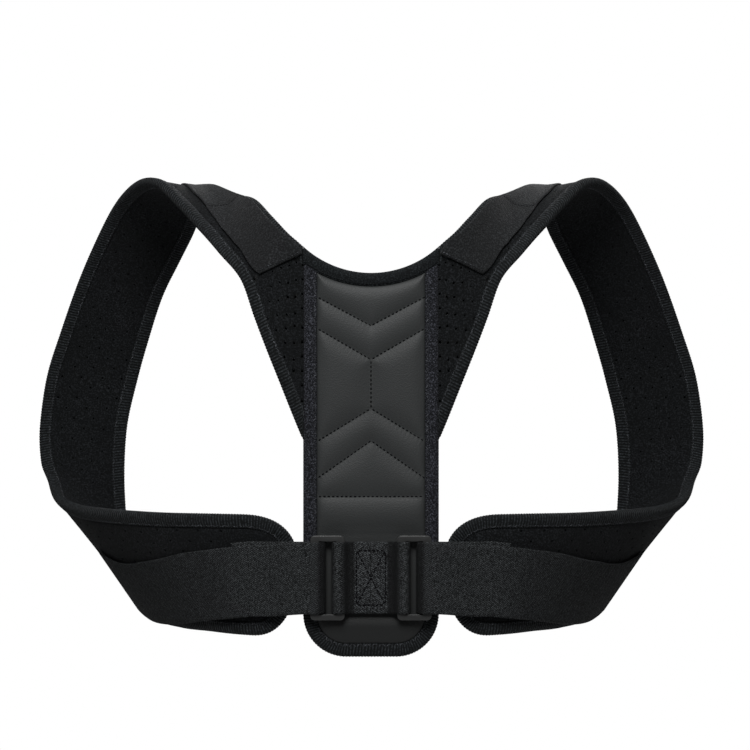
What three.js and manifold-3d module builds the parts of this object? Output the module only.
// A posture brace for the upper back, as it hangs on its wearer.
// A quilted spine panel carries a perforated yoke. From the yoke a padded loop runs over each shoulder,
// down the front of it and back under the arm. A webbing strap pulls each loop's end to a rectangular
// ring on the foot of the spine panel and folds back on itself, and one sewn tab holds both rings.
// Millimetres. +X is the wearer's right, +Y the wearer's front and +Z up. The origin lies midway between
// the shoulders, at the underside of the loops' crests, where the brace hangs.
import * as THREE from "three";
import { mergeVertices } from "three/addons/utils/BufferGeometryUtils.js";
import Module from "manifold-3d";

const wasm = await Module();
wasm.setup();

// Overall sizes, measured from the foot of the spine panel and from its front face
const SHOULDER_HEIGHT = 340; // crest of the loops' centreline above the foot
const LOOP_REACH = 227; // centreline's widest distance from the mid-plane
const LOOP_DEPTH = 196; // centreline's deepest distance in front of the spine panel
const STRAP_HEIGHT = 56; // rings, straps and the loops' ends above the foot

// Spine panel and yoke
const SPINE_WIDTH = 95; // over its edge tape
const SPINE_HEIGHT = 269; // foot to the lowest point of the neckline
const SPINE_THICK = 5;
const NECK_RADIUS = 70;
const FOOT_RADIUS = 30;
const YOKE_FOOT = 152; // lowest corner of the yoke's wings above the foot
const COVER_THICK = 1.5;
const QUILT_LOFT = 1.6; // how much thicker the cover is above its lowest seam
const SEAM_WIDTH = 2.6;
const SEAM_DEPTH = 1.3;

// Loops
const PAD_WIDTH = 86; // at the loop's end, under the arm
const PAD_THICK = 5;
const END_LENGTH = 38; // the rounded end of the pad, measured along it
const END_FULLNESS = 0.82; // 1 is an ellipse, 0 a square end
const TIP_GAP = 4; // between the pad's tip and the spine panel
const TAPE_THICK = 1.1;
const TAPE_WIDTH = 9.5;

// Webbing, rings and the hook-and-loop flaps on the shoulders
const WEBBING_WIDTH = 50;
const WEBBING_THICK = 1.8;
const RING_WIDTH = 24;
const RING_BAR = 6;
const RING_RAIL = 4; // the ring's top and bottom members
const RING_THICK = 4;
const RING_OFFSET = 30.3; // ring's centre from the mid-plane
const FLAP_WIDTH = 34;
const FLAP_THICK = 1.8;

// Clearances
const GAP = 0.3; // between two pieces that touch
const SHEET_GAP = 0.5; // between two layers that bend together
const SLACK = 0.5; // webbing in the ring, each side

const SPINE_HALF = SPINE_WIDTH / 2;
const NECK_CENTRE = SPINE_HEIGHT + NECK_RADIUS;
const NECK_CORNER = NECK_CENTRE - Math.sqrt(NECK_RADIUS ** 2 - SPINE_HALF ** 2);
const ON_TAPE = PAD_THICK / 2 + GAP + TAPE_THICK + SHEET_GAP; // first free height over the loop's tape

// Each row is a straight line across the left loop, on the way from the yoke over the shoulder and back
// under the arm. Its middle lies out by a share of the reach past the spine panel, deep by a share of
// the loop's depth and up by a share of the shoulder's height over the straps. Its length is a share of
// the pad's width plus a share of the yoke's seam. It leans outwards, forwards and up from the neck's
// edge to the arm's edge by the last three columns.
const LOOP_ROWS = [
  { at: "wing", out: 0.082, deep: 0.013, up: 0.674, pad: 0.35, yoke: 0.52, leanOut: 0.07, leanDeep: 0, leanUp: -1 },
  { at: "wing top", out: 0.157, deep: 0.055, up: 0.765, pad: 0.6, yoke: 0.17, leanOut: 0.14, leanDeep: -0.05, leanUp: -1 },
  { at: "blade", out: 0.22, deep: 0.122, up: 0.838, pad: 0.7, yoke: 0, leanOut: 0.16, leanDeep: -0.26, leanUp: -0.95 },
  { at: "rise", out: 0.303, deep: 0.225, up: 0.88, pad: 0.65, yoke: 0, leanOut: 0.23, leanDeep: -0.6, leanUp: -0.76 },
  { at: "shoulder back", out: 0.375, deep: 0.32, up: 0.917, pad: 0.65, yoke: 0, leanOut: 0.28, leanDeep: -0.8, leanUp: -0.54 },
  { at: "shoulder", out: 0.451, deep: 0.415, up: 0.956, pad: 0.67, yoke: 0, leanOut: 0.36, leanDeep: -0.9, leanUp: -0.26 },
  { at: "crest", out: 0.527, deep: 0.52, up: 0.986, pad: 0.69, yoke: 0, leanOut: 0.54, leanDeep: -0.84, leanUp: 0.07 },
  { at: "shoulder front", out: 0.593, deep: 0.63, up: 0.962, pad: 0.7, yoke: 0, leanOut: 0.79, leanDeep: -0.5, leanUp: 0.33 },
  { at: "collar bone", out: 0.663, deep: 0.735, up: 0.91, pad: 0.75, yoke: 0, leanOut: 0.92, leanDeep: -0.24, leanUp: 0.32 },
  { at: "chest top", out: 0.746, deep: 0.827, up: 0.823, pad: 0.77, yoke: 0, leanOut: 0.97, leanDeep: -0.12, leanUp: 0.22 },
  { at: "chest", out: 0.824, deep: 0.9, up: 0.728, pad: 0.77, yoke: 0, leanOut: 0.98, leanDeep: -0.06, leanUp: 0.17 },
  { at: "chest middle", out: 0.899, deep: 0.96, up: 0.603, pad: 0.8, yoke: 0, leanOut: 0.99, leanDeep: 0, leanUp: 0.11 },
  { at: "chest low", out: 0.957, deep: 0.995, up: 0.489, pad: 0.83, yoke: 0, leanOut: 1, leanDeep: 0.03, leanUp: 0.04 },
  { at: "armpit front", out: 0.996, deep: 1, up: 0.355, pad: 0.8, yoke: 0, leanOut: 1, leanDeep: 0.05, leanUp: 0.03 },
  { at: "armpit low", out: 0.995, deep: 0.97, up: 0.235, pad: 0.78, yoke: 0, leanOut: 0.97, leanDeep: 0, leanUp: 0.22 },
  { at: "turn", out: 0.967, deep: 0.918, up: 0.148, pad: 0.81, yoke: 0, leanOut: 0.85, leanDeep: -0.15, leanUp: 0.5 },
  { at: "ribs front", out: 0.935, deep: 0.82, up: 0.071, pad: 0.94, yoke: 0, leanOut: 0.66, leanDeep: -0.2, leanUp: 0.72 },
  { at: "ribs side", out: 0.868, deep: 0.68, up: 0.029, pad: 1.05, yoke: 0, leanOut: 0.57, leanDeep: -0.14, leanUp: 0.81 },
  { at: "ribs back", out: 0.762, deep: 0.51, up: 0.005, pad: 1.15, yoke: 0, leanOut: 0.53, leanDeep: -0.08, leanUp: 0.84 },
  { at: "back turn", out: 0.614, deep: 0.337, up: 0, pad: 1.11, yoke: 0, leanOut: 0.45, leanDeep: -0.04, leanUp: 0.89 },
  { at: "back", out: 0.449, deep: 0.19, up: 0.001, pad: 1.04, yoke: 0, leanOut: 0.32, leanDeep: -0.02, leanUp: 0.94 },
  { at: "back end", out: 0.25, deep: 0.07, up: 0.002, pad: 1, yoke: 0, leanOut: 0.11, leanDeep: -0.02, leanUp: 0.99 },
];

// Chevron and straight seams of the quilted cover, as shares of the spine panel's height: where each
// meets the mid-line, and where it meets the cover's sides.
const SEAMS = [
  { middle: 0.862, sides: 0.937 },
  { middle: 0.774, sides: 0.855 },
  { middle: 0.647, sides: 0.561 },
  { middle: 0.563, sides: 0.465 },
  { middle: 0.418, sides: 0.418 },
];
const STEM = { top: 0.774, foot: 0.647 }; // upright seam on the mid-line

// The strap's lower edge where it lies on the loop: distances back from the pad's tip as shares of the
// strap's reach, and rises over the pad's lower edge as shares of the webbing's width.
const STRAP_ROWS = [
  { back: 0.16, rise: 0.27 },
  { back: 0.33, rise: 0.2 },
  { back: 0.52, rise: 0.13 },
  { back: 0.71, rise: 0.05 },
  { back: 0.87, rise: 0.01 },
  { back: 1, rise: 0.01 },
];
const STRAP_REACH = 212; // hidden end of the strap's outer layer, back from the pad's tip
const INNER_LAYER_START = 18; // sewn end of the strap's inner layer, back from where it leaves the pad
const LAYER_STEP = 30; // length in which the outer layer comes down to the loop beyond the inner one
const INNER_LAYER_RISE = 0.08; // how much higher than the outer layer it is sewn
const FLAP_START = { neck: 3, arm: 61 }; // the flap's loose end, along the loop from the yoke's seam
const FLAP_FINISH = 196; // its sewn end, past the crest
const FLAP_INSET = 1.5; // from the loop's neck edge
const FLAP_MARGIN = 5; // from the arm's tape

// The loop as a curved sheet

const vector = (x, y, z) => new THREE.Vector3(x, y, z);
const mix = (a, b, share) => a + (b - a) * share;

function rowMiddle(row) {
  return vector(
    -mix(SPINE_HALF + GAP, LOOP_REACH, row.out),
    row.deep * LOOP_DEPTH,
    mix(STRAP_HEIGHT, SHOULDER_HEIGHT, row.up),
  );
}

const seamRow = {
  middle: vector(-SPINE_HALF - GAP, SPINE_THICK / 2, (NECK_CORNER + YOKE_FOOT) / 2),
  lean: vector(0, 0, -1),
  length: NECK_CORNER - YOKE_FOOT,
};
const tipRow = {
  middle: vector(-SPINE_HALF - TIP_GAP, SPINE_THICK, STRAP_HEIGHT),
  lean: vector(0.08, 0, 1).normalize(),
  length: PAD_WIDTH,
};
const rows = [
  seamRow,
  ...LOOP_ROWS.map((row) => ({
    middle: rowMiddle(row),
    lean: vector(-row.leanOut, row.leanDeep, row.leanUp).normalize(),
    length: row.pad * PAD_WIDTH + row.yoke * seamRow.length,
  })),
  tipRow,
];
const smooth = (points) => new THREE.CatmullRomCurve3(points, false, "catmullrom", 0.5);
const middleLine = smooth(rows.map((row) => row.middle));
const leanLine = smooth(rows.map((row) => row.lean));
const lengthLine = smooth(rows.map((row) => vector(row.length, 0, 0)));
middleLine.arcLengthDivisions = 600;
const LOOP_LENGTH = middleLine.getLength();
const END_START = LOOP_LENGTH - END_LENGTH;

// The loop's frame at a distance along it: its middle, the directions across and outwards, and half
// the length of the line across it.
function frameAt(distance) {
  const along = Math.min(Math.max(distance, 0), LOOP_LENGTH);
  const t = middleLine.getUtoTmapping(0, along);
  const across = leanLine.getPoint(t).normalize();
  const outward = middleLine.getTangent(t).cross(across).normalize();
  return { middle: middleLine.getPoint(t), across, outward, half: lengthLine.getPoint(t).x / 2 };
}

// A point of the loop: a distance along it, one across it towards the arm's edge, and one outwards.
function onLoop(along, across, out) {
  const frame = frameAt(along);
  return frame.middle.addScaledVector(frame.across, across).addScaledVector(frame.outward, out);
}

// Which way the pad's edge runs on one side of the loop: -1 for the neck's side and 1 for the arm's.
function edgeAt(distance, side) {
  const along = Math.min(Math.max(distance, PROBE), LOOP_LENGTH - PROBE);
  const point = (place) => onLoop(place, side * frameAt(place).half, 0);
  return point(along + PROBE).sub(point(along - PROBE)).normalize();
}

// How far across the loop a line is that keeps a distance from one of its edges, square to it.
function insetAt(along, side, distance) {
  const frame = frameAt(along);
  return side * (frame.half - distance / edgeAt(along, side).cross(frame.across).length());
}

// The pad's rounded end: a turn runs from 0 where it starts, through 90 degrees at the tip, to 180.
function endAt(turn) {
  const round = (share) => Math.sign(share) * Math.abs(share) ** END_FULLNESS;
  return { along: END_START + END_LENGTH * round(Math.sin(turn)), side: round(Math.cos(turn)) };
}

const PROBE = 0.25;
const END_STEPS = 12;
const SIDE_STEPS = 44;
const distances = middleLine.getLengths(SIDE_STEPS * 20);
const lastStep = distances.findIndex((along) => along > END_START);
const sideStations = Array.from({ length: SIDE_STEPS }, (_, i) => distances[Math.round((lastStep * i) / SIDE_STEPS)]);
const stationsBetween = (from, to) => sideStations.filter((along) => along > from + 1 && along < to - 1);

// The pad's outline from the yoke along the arm's edge, round the end and back along the neck's edge.
// Each station has its place and the step along and across the loop that moves one millimetre square
// to the edge, into the pad. On the sides the step keeps to the line across the loop.
function outline() {
  const edgeStations = (side) =>
    sideStations.map((along) => {
      const across = insetAt(along, side, 0);
      return { along, across, alongStep: 0, acrossStep: insetAt(along, side, 1) - across };
    });
  const end = Array.from({ length: END_STEPS + 1 }, (_, i) => {
    const turn = (Math.PI * i) / END_STEPS;
    const { along, side } = endAt(turn);
    const { across, half } = frameAt(along);
    const place = (at) => onLoop(at.along, at.side * half, 0);
    const edge = place(endAt(turn + 0.02)).sub(place(endAt(turn - 0.02))).normalize();
    const forward = onLoop(along - 1, side * half, 0).sub(onLoop(along - 3, side * half, 0)).divideScalar(2);
    const inward = edge.cross(forward.clone().cross(across)).normalize();
    const alongStep = inward.dot(forward) / forward.lengthSq();
    return { along, across: side * half, alongStep, acrossStep: inward.dot(across) };
  });
  return [...edgeStations(1), ...end, ...edgeStations(-1).reverse()];
}

// Solids

// Turns a closed mesh's faces outwards.
function facingOut(geometry) {
  const position = geometry.getAttribute("position");
  const index = geometry.index.array;
  const corner = (i) => vector().fromBufferAttribute(position, index[i]);
  let volume = 0;
  for (let i = 0; i < index.length; i += 3) volume += corner(i).dot(corner(i + 1).cross(corner(i + 2)));
  if (volume < 0) {
    for (let i = 0; i < index.length; i += 3) [index[i + 1], index[i + 2]] = [index[i + 2], index[i + 1]];
  }
  return geometry;
}

// A closed solid through rings of points that all follow one flat section, capped at both ends. Each
// four-sided face is split from its lower corner on one ring to its higher corner on the next, by the
// section's first coordinate, so that two sheets that lie on each other bend alike.
function loft(rings, section) {
  const size = section.length;
  const index = [];
  for (let i = 0; i + 1 < rings.length; i++) {
    for (let k = 0; k < size; k++) {
      const next = (k + 1) % size;
      const [a, b, c, d] = [i * size + k, i * size + next, (i + 1) * size + k, (i + 1) * size + next];
      index.push(...(section[k].x < section[next].x ? [a, b, d, a, d, c] : [a, b, c, b, d, c]));
    }
  }
  const last = (rings.length - 1) * size;
  const counter = THREE.ShapeUtils.isClockWise(section) ? 1 : 0;
  for (const [a, b, c] of THREE.ShapeUtils.triangulateShape(section, [])) {
    index.push(...(counter ? [a, b, c] : [a, c, b]), ...(counter ? [c, b, a] : [b, c, a]).map((i) => i + last));
  }
  const geometry = new THREE.BufferGeometry().setFromPoints(rings.flat());
  return facingOut(geometry.setIndex(index));
}

function mirrored(geometry) {
  return facingOut(geometry.clone().scale(-1, 1, 1));
}

function toSolid(geometry) {
  const bare = new THREE.BufferGeometry().setAttribute("position", geometry.getAttribute("position"));
  if (geometry.index) bare.setIndex(geometry.index);
  const merged = mergeVertices(bare, 1e-4);
  const vertProperties = new Float32Array(merged.getAttribute("position").array);
  const triVerts = new Uint32Array(merged.index.array);
  return new wasm.Manifold(new wasm.Mesh({ numProp: 3, vertProperties, triVerts }));
}

function toGeometry(solid) {
  const mesh = solid.getMesh();
  const geometry = new THREE.BufferGeometry();
  geometry.setAttribute("position", new THREE.BufferAttribute(mesh.vertProperties, 3));
  return geometry.setIndex(new THREE.BufferAttribute(mesh.triVerts, 1));
}

// An upright slab: an outline in X and Z, from one depth to another.
function slab(shape, front, back, curveSegments = 10) {
  const geometry = new THREE.ExtrudeGeometry(shape, { depth: back - front, bevelEnabled: false, curveSegments });
  return geometry.rotateX(Math.PI / 2).translate(0, back, 0);
}

// A tape folded round an edge: a U whose inside clears a sheet of this thickness.
function tapeSection(sheetThick) {
  const inner = sheetThick / 2 + GAP;
  const outer = inner + TAPE_THICK;
  return [
    [TAPE_WIDTH, outer],
    [0, outer],
    [0, -outer],
    [TAPE_WIDTH, -outer],
    [TAPE_WIDTH, -inner],
    [TAPE_THICK, -inner],
    [TAPE_THICK, inner],
    [TAPE_WIDTH, inner],
  ].map(([inward, out]) => new THREE.Vector2(inward, out));
}

// A flat band's section, with this many columns of points across each face. The hand is -1 for a band
// that runs with the loop, from the yoke to the tip, and 1 for one that runs against it.
function bandSection(columns, hand = -1) {
  const face = Array.from({ length: columns }, (_, i) => hand * i);
  return [...face.map((i) => new THREE.Vector2(i, 0)), ...face.reverse().map((i) => new THREE.Vector2(i, 1))];
}

// A ring of points round a band, from its columns' points on the inner face and on the outer one.
function bandRing(columns, inner, outer) {
  return [...columns.map((across) => inner(across)), ...columns.toReversed().map((across) => outer(across))];
}

// Spine panel

// The panel's outline, inset from its taped edge.
function spineShape(inset, neckInset = inset) {
  const half = SPINE_HALF - inset;
  const radius = FOOT_RADIUS - inset;
  const neck = NECK_RADIUS + neckInset;
  const corner = Math.asin(half / neck);
  const shape = new THREE.Shape();
  shape.moveTo(-half, NECK_CENTRE - Math.cos(corner) * neck);
  shape.lineTo(-half, FOOT_RADIUS);
  shape.absarc(-half + radius, FOOT_RADIUS, radius, Math.PI, Math.PI * 1.5, false);
  shape.lineTo(half - radius, inset);
  shape.absarc(half - radius, FOOT_RADIUS, radius, Math.PI * 1.5, Math.PI * 2, false);
  shape.absarc(0, NECK_CENTRE, neck, -Math.PI / 2 + corner, -Math.PI / 2 - corner, true);
  return shape;
}

function spinePad() {
  return slab(spineShape(TAPE_THICK + GAP), 0, SPINE_THICK, 8);
}

// The tape round the panel's sides and foot, trimmed under the neckline's tape.
function spineTape() {
  const shape = new THREE.Path();
  const top = NECK_CORNER;
  shape.moveTo(-SPINE_HALF, top);
  shape.lineTo(-SPINE_HALF, FOOT_RADIUS);
  shape.absarc(-SPINE_HALF + FOOT_RADIUS, FOOT_RADIUS, FOOT_RADIUS, Math.PI, Math.PI * 1.5, false);
  shape.absarc(SPINE_HALF - FOOT_RADIUS, FOOT_RADIUS, FOOT_RADIUS, Math.PI * 1.5, Math.PI * 2, false);
  shape.lineTo(SPINE_HALF, top);
  const points = shape.getPoints(8);
  const section = tapeSection(SPINE_THICK);
  const rings = points.map((point, i) => {
    const run = points[Math.min(i + 1, points.length - 1)].clone().sub(points[Math.max(i - 1, 0)]).normalize();
    return section.map(({ x: inward, y: out }) =>
      vector(point.x - run.y * inward, SPINE_THICK / 2 - out, point.y + run.x * inward),
    );
  });
  return toGeometry(toSolid(loft(rings, section)).subtract(neckZone(TAPE_WIDTH + GAP)));
}

// Everything within a distance of the neckline, as a cylinder through the panel.
function neckZone(distance) {
  const radius = NECK_RADIUS + distance;
  const cylinder = new THREE.CylinderGeometry(radius, radius, 10 * SPINE_THICK, 96);
  return toSolid(cylinder.translate(0, 0, NECK_CENTRE));
}

function neckTape() {
  const section = tapeSection(SPINE_THICK);
  const corner = Math.asin(SPINE_HALF / NECK_RADIUS);
  const stations = 20;
  const rings = Array.from({ length: stations + 1 }, (_, i) => {
    const angle = mix(-corner, corner, i / stations);
    return section.map(({ x: inward, y: out }) => {
      const radius = NECK_RADIUS + inward;
      const side = Math.min(Math.max(radius * Math.sin(angle), -SPINE_HALF), SPINE_HALF);
      return vector(side, SPINE_THICK / 2 - out, NECK_CENTRE - radius * Math.cos(angle));
    });
  });
  return loft(rings, section);
}

// The quilted cover: thick above its lowest seam and thin under the straps, with a groove at each seam.
function spineCover() {
  const inset = TAPE_WIDTH + GAP;
  const outline = spineShape(inset);
  const front = -GAP - COVER_THICK;
  const quiltFoot = SEAMS.at(-1).middle * SPINE_HEIGHT;
  const thin = toSolid(slab(outline, front, -GAP, 8));
  const loftZone = new THREE.Shape();
  const side = SPINE_HALF;
  loftZone.moveTo(-side, quiltFoot).lineTo(side, quiltFoot).lineTo(side, NECK_CENTRE).lineTo(-side, NECK_CENTRE);
  const thick = toSolid(slab(outline, front - QUILT_LOFT, -GAP, 8)).intersect(
    toSolid(slab(loftZone, front - 2 * QUILT_LOFT, GAP)),
  );
  const half = SPINE_HALF - inset;
  const lines = SEAMS.flatMap(({ middle, sides }) =>
    [-1, 1].map((hand) => [
      [0, middle * SPINE_HEIGHT],
      [hand * half, sides * SPINE_HEIGHT],
    ]),
  );
  lines.push([STEM.top, STEM.foot].map((share) => [0, share * SPINE_HEIGHT]));
  return toGeometry(
    lines.reduce((solid, [from, to]) => solid.subtract(groove(from, to, front - QUILT_LOFT)), thin.add(thick)),
  );
}

// A V-shaped groove between two points of the cover's face, a little longer than the line.
function groove(from, to, face) {
  const section = [
    new THREE.Vector2(-SEAM_WIDTH, -SEAM_DEPTH),
    new THREE.Vector2(SEAM_WIDTH, -SEAM_DEPTH),
    new THREE.Vector2(0, SEAM_DEPTH),
  ];
  const [start, finish] = [from, to].map(([x, z]) => vector(x, face, z));
  const run = finish.clone().sub(start).normalize();
  const beside = vector(-run.z, 0, run.x);
  const rings = [start.addScaledVector(run, -SEAM_WIDTH / 2), finish.addScaledVector(run, SEAM_WIDTH)].map((end) =>
    section.map(({ x, y }) => end.clone().addScaledVector(beside, x / 2).add(vector(0, y, 0))),
  );
  return toSolid(loft(rings, section));
}

// Loops

// The places across the loop where a sheet on it bends: the neck tape's end, the flap's middle line and
// the flap's edge, which keeps off the arm's tape where the loop is narrow.
function creases(along) {
  const tapeEnd = insetAt(along, -1, TAPE_WIDTH);
  const flapEdge = Math.min(
    insetAt(along, -1, FLAP_INSET + FLAP_WIDTH),
    insetAt(along, 1, TAPE_WIDTH + FLAP_MARGIN),
  );
  return [tapeEnd, (tapeEnd + flapEdge) / 2, flapEdge];
}

// The padded sheet itself, inside its edge tape.
function loopPad() {
  const inset = TAPE_THICK + GAP;
  const columnsAt = (along) => [
    insetAt(along, -1, inset),
    ...creases(along),
    insetAt(along, 1, TAPE_WIDTH),
    insetAt(along, 1, inset),
  ];
  const ringAt = (along, share) =>
    bandRing(
      columnsAt(along).map((across) => across * share),
      (across) => onLoop(along, across, -PAD_THICK / 2),
      (across) => onLoop(along, across, PAD_THICK / 2),
    );
  const end = Array.from({ length: END_STEPS / 2 }, (_, i) => endAt((Math.PI * i) / END_STEPS));
  return loft(
    [
      ...sideStations.map((along) => ringAt(along, 1)),
      ...end.map(({ along, side }) => ringAt(along - (inset * (along - END_START)) / END_LENGTH, side)),
    ],
    bandSection(6),
  );
}

function loopTape() {
  const section = tapeSection(PAD_THICK);
  const rings = outline().map(({ along, across, alongStep, acrossStep }) =>
    section.map(({ x: inward, y: out }) => onLoop(along + alongStep * inward, across + acrossStep * inward, out)),
  );
  return loft(rings, section);
}

// The hook-and-loop flap over the shoulder, on the tape at the neck's edge, with a slanting loose end.
function shoulderFlap() {
  const stations = [FLAP_START.neck, ...stationsBetween(FLAP_START.neck, FLAP_FINISH), FLAP_FINISH];
  const rings = stations.map((along) => {
    const slanted = (along - FLAP_START.neck) / (FLAP_START.arm - FLAP_START.neck);
    const share = Math.min(Math.max(slanted, 0.05), 1);
    const neckEdge = insetAt(along, -1, FLAP_INSET);
    return bandRing(
      [neckEdge, ...creases(along)].map((across) => mix(neckEdge, across, share)),
      (across) => onLoop(along, across, ON_TAPE),
      (across) => onLoop(along, across, ON_TAPE + FLAP_THICK),
    );
  });
  return loft(rings, bandSection(4));
}

// Straps and rings

const BAR_DEPTH = -2 * GAP - COVER_THICK - WEBBING_THICK - SHEET_GAP - RING_THICK / 2; // the ring's mid-plane
const TURN_RADIUS = RING_THICK / 2 + SHEET_GAP + WEBBING_THICK / 2; // webbing's middle, round a ring's bar

const STRAP_COLUMNS = 5;
const strapShares = Array.from({ length: STRAP_COLUMNS }, (_, i) => i / (STRAP_COLUMNS - 1));

// The strap's section where it lies on the loop, from its inner face at one height to its outer one.
function strapOnLoop(along, inner, outer, lift = 0) {
  const back = (LOOP_LENGTH - along) / STRAP_REACH;
  const next = STRAP_ROWS.find((row) => row.back >= back) ?? STRAP_ROWS.at(-1);
  const last = STRAP_ROWS.findLast((row) => row.back <= back) ?? STRAP_ROWS[0];
  const share = next === last ? 0 : (back - last.back) / (next.back - last.back);
  const rise = mix(last.rise, next.rise, share) + lift;
  const columns = strapShares.map((column) => insetAt(along, -1, (rise + column) * WEBBING_WIDTH));
  return bandRing(
    columns,
    (across) => onLoop(along, across, inner),
    (across) => onLoop(along, across, outer),
  );
}

// The strap's section at the ring, from its middle and the way its outer face looks.
function strapAtRing(middle, facing) {
  const columns = strapShares.map((column) => (column - 0.5) * WEBBING_WIDTH);
  const face = (hand) => (up) => middle.clone().addScaledVector(facing, (hand * WEBBING_THICK) / 2).setZ(middle.z + up);
  return bandRing(columns, face(-1), face(1));
}

// The free stretch between the section where the strap leaves the loop and the one at the ring.
function freeRun(from, ahead, to, steps) {
  return Array.from({ length: steps - 1 }, (_, i) =>
    from.map((start, k) => {
      const reach = start.distanceTo(to[k]) * 0.4;
      const leaving = ahead[k].clone().sub(start).setLength(reach).add(start);
      const arriving = to[k].clone().sub(vector(reach, 0, 0));
      return new THREE.CubicBezierCurve3(start, leaving, arriving, to[k]).getPoint((i + 1) / steps);
    }),
  );
}

// The strap: sewn on the loop's end, out to the ring, round its outer bar, and back over itself. Its
// faces change places in the turn, so the heights of the outer layer come in the other order.
function sideStrap() {
  const innerLayer = [ON_TAPE, ON_TAPE + WEBBING_THICK];
  const leaves = LOOP_LENGTH - STRAP_ROWS[0].back * STRAP_REACH;
  const outerLayer = (along) => {
    const inset = (leaves - INNER_LAYER_START - along) / LAYER_STEP;
    const layers = mix(1, 0, Math.min(Math.max(inset, 0), 1));
    return innerLayer.map((height) => height + layers * (WEBBING_THICK + SHEET_GAP)).reverse();
  };
  const ends = LOOP_LENGTH - STRAP_REACH;
  const bar = vector(-RING_OFFSET - RING_WIDTH / 2 + RING_BAR - RING_THICK / 2, BAR_DEPTH, STRAP_HEIGHT);
  const turn = Array.from({ length: 9 }, (_, i) => {
    const angle = (Math.PI * i) / 8;
    const outward = vector(Math.sin(angle), Math.cos(angle), 0);
    return strapAtRing(bar.clone().addScaledVector(outward, TURN_RADIUS), outward.clone().negate());
  });
  const inner = [leaves - INNER_LAYER_START, leaves, leaves + 1].map((along) =>
    strapOnLoop(along, ...innerLayer, INNER_LAYER_RISE),
  );
  const outer = [leaves, leaves + 1].map((along) => strapOnLoop(along, ...outerLayer(along)));
  const laid = [...stationsBetween(ends, leaves).reverse(), ends];
  return loft(
    [
      ...inner.slice(0, 2),
      ...freeRun(...inner.slice(1), turn[0], 5),
      ...turn,
      ...freeRun(...outer, turn.at(-1), 5).reverse(),
      outer[0],
      ...laid.map((along) => strapOnLoop(along, ...outerLayer(along))),
    ],
    bandSection(STRAP_COLUMNS, 1),
  );
}

// A round-cornered rectangle as a closed outline about a centre.
function rounded(target, centreX, centreY, width, height, radius) {
  const [x, y] = [width / 2 - radius, height / 2 - radius];
  target.moveTo(centreX + x + radius, centreY - y);
  target.absarc(centreX + x, centreY + y, radius, 0, Math.PI / 2, false);
  target.absarc(centreX - x, centreY + y, radius, Math.PI / 2, Math.PI, false);
  target.absarc(centreX - x, centreY - y, radius, Math.PI, Math.PI * 1.5, false);
  target.absarc(centreX + x, centreY - y, radius, Math.PI * 1.5, Math.PI * 2, false);
  return target;
}

function ring() {
  const inner = WEBBING_WIDTH + 2 * SLACK;
  const shape = rounded(new THREE.Shape(), 0, 0, RING_WIDTH, inner + 2 * RING_RAIL, RING_RAIL);
  shape.holes.push(rounded(new THREE.Path(), 0, 0, RING_WIDTH - 2 * RING_BAR, inner, SLACK));
  const bevel = RING_THICK * 0.28;
  const geometry = new THREE.ExtrudeGeometry(shape, {
    depth: RING_THICK - 2 * bevel,
    bevelThickness: bevel,
    bevelSize: bevel,
    bevelOffset: -bevel,
    bevelSegments: 1,
    curveSegments: 4,
  });
  geometry.rotateX(Math.PI / 2);
  return geometry.translate(-RING_OFFSET, BAR_DEPTH + RING_THICK / 2 - bevel, STRAP_HEIGHT);
}

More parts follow.
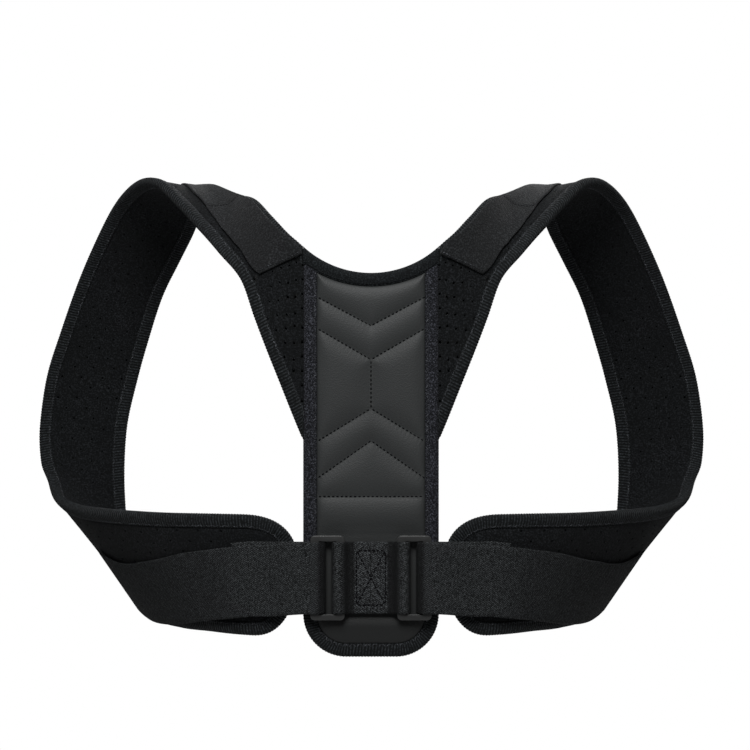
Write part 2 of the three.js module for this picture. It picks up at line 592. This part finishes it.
// The tab between the rings: webbing doubled and sewn flat in the middle, with a loop round each
// ring's inner bar.
function ringTab() {
  const barX = RING_OFFSET - RING_WIDTH / 2 + RING_BAR / 2;
  const bore = [RING_BAR + 2 * GAP, RING_THICK + 2 * GAP];
  const [width, depth] = bore.map((size) => size + 2 * WEBBING_THICK);
  const back = BAR_DEPTH + depth / 2;
  const sewnFront = back - 2 * WEBBING_THICK - GAP;
  const sewnHalf = barX / 2;
  const radius = depth / 2 - 0.4;
  const shape = new THREE.Shape();
  const end = barX + width / 2 - radius;
  shape.moveTo(-sewnHalf, sewnFront);
  shape.bezierCurveTo(-barX * 0.75, sewnFront, -barX * 0.85, BAR_DEPTH - depth / 2, -barX, BAR_DEPTH - depth / 2);
  shape.lineTo(-end, BAR_DEPTH - depth / 2);
  shape.absarc(-end, BAR_DEPTH - depth / 2 + radius, radius, -Math.PI / 2, -Math.PI, true);
  shape.absarc(-end, BAR_DEPTH + depth / 2 - radius, radius, Math.PI, Math.PI / 2, true);
  shape.lineTo(end, back);
  shape.absarc(end, BAR_DEPTH + depth / 2 - radius, radius, Math.PI / 2, 0, true);
  shape.absarc(end, BAR_DEPTH - depth / 2 + radius, radius, 0, -Math.PI / 2, true);
  shape.lineTo(barX, BAR_DEPTH - depth / 2);
  shape.bezierCurveTo(barX * 0.85, BAR_DEPTH - depth / 2, barX * 0.75, sewnFront, sewnHalf, sewnFront);
  for (const hand of [-1, 1]) {
    shape.holes.push(rounded(new THREE.Path(), hand * barX, BAR_DEPTH, bore[0], bore[1], RING_THICK * 0.2));
  }
  const geometry = new THREE.ExtrudeGeometry(shape, { depth: WEBBING_WIDTH, bevelEnabled: false, curveSegments: 6 });
  return geometry.translate(0, 0, STRAP_HEIGHT - WEBBING_WIDTH / 2);
}

// Assembly

const finish = (color, roughness, metalness = 0) => new THREE.MeshStandardMaterial({ color, roughness, metalness });
const finishes = {
  lining: finish(0x0b0c0d, 0.95),
  neoprene: finish(0x141518, 0.9),
  tape: finish(0x181a20, 0.85),
  cover: finish(0x3b3d3d, 0.5),
  webbing: finish(0x2a2b2d, 0.85),
  plastic: finish(0x202122, 0.45),
};

const brace = new THREE.Group();
const crest = middleLine.getPoints(SIDE_STEPS * 5).reduce((high, point) => (point.z > high.z ? point : high));
brace.position.set(0, -crest.y, PAD_THICK / 2 - crest.z);

function place(name, geometry, material) {
  const mesh = new THREE.Mesh(geometry, material);
  mesh.name = name;
  brace.add(mesh);
}

place("spine_pad", spinePad(), finishes.lining);
place("spine_edge_tape", spineTape(), finishes.tape);
place("neckline_tape", neckTape(), finishes.tape);
place("spine_cover", spineCover(), finishes.cover);
place("ring_tab", ringTab(), finishes.webbing);
for (const [piece, geometry, material] of [
  ["loop_pad", loopPad(), finishes.neoprene],
  ["loop_edge_tape", loopTape(), finishes.tape],
  ["shoulder_flap", shoulderFlap(), finishes.webbing],
  ["side_strap", sideStrap(), finishes.webbing],
  ["strap_ring", ring(), finishes.plastic],
]) {
  place(`left_${piece}`, geometry, material);
  const indexed = geometry.index ? geometry : mergeVertices(geometry.deleteAttribute("normal").deleteAttribute("uv"));
  place(`right_${piece}`, mirrored(indexed), material);
}

export default brace;
